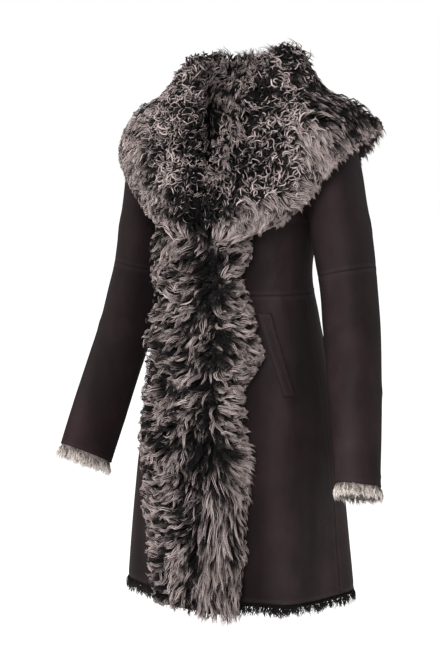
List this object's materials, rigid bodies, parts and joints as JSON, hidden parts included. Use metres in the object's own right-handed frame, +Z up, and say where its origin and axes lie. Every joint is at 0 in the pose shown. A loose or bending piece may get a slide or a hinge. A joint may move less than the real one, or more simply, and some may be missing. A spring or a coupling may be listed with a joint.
{
  "type": "shearling coat",
  "caption": "Thigh-length fitted leather shearling coat with a wide fur shawl collar, fur front edges and slanted welt pockets, in its worn hollow form.",
  "frame": {"origin": "middle of the shoulder line, level with the points where the shoulder seams meet the neck", "axes": "+Z up along the body, front of the coat towards -Y, wearer's left towards +X"},
  "size_m": [0.6392, 0.3247, 0.9099],
  "materials": {
    "leather": "matt nappa, very dark brown-black",
    "taupe_fur": "long curly shearling fur, pinkish taupe tips over black roots",
    "cream_fur": "short cream-grey wool",
    "black_fur": "short black wool"
  },
  "bodies": {
    "root": {"back_bodice": "leather", "back_skirt": "leather", "front_bodice_left": "leather", "front_bodice_right": "leather", "front_skirt_left": "leather", "front_skirt_right": "leather", "sleeve_upper_left": "leather", "sleeve_upper_right": "leather", "sleeve_lower_left": "leather", "sleeve_lower_right": "leather", "pocket_welt_left": "leather", "pocket_welt_right": "leather", "collar": "taupe_fur", "front_fur_left": "taupe_fur", "front_fur_right": "taupe_fur", "cuff_fur_left": "cream_fur", "cuff_fur_right": "cream_fur", "hem_fur": "black_fur"}
  },
  "joints": []
}
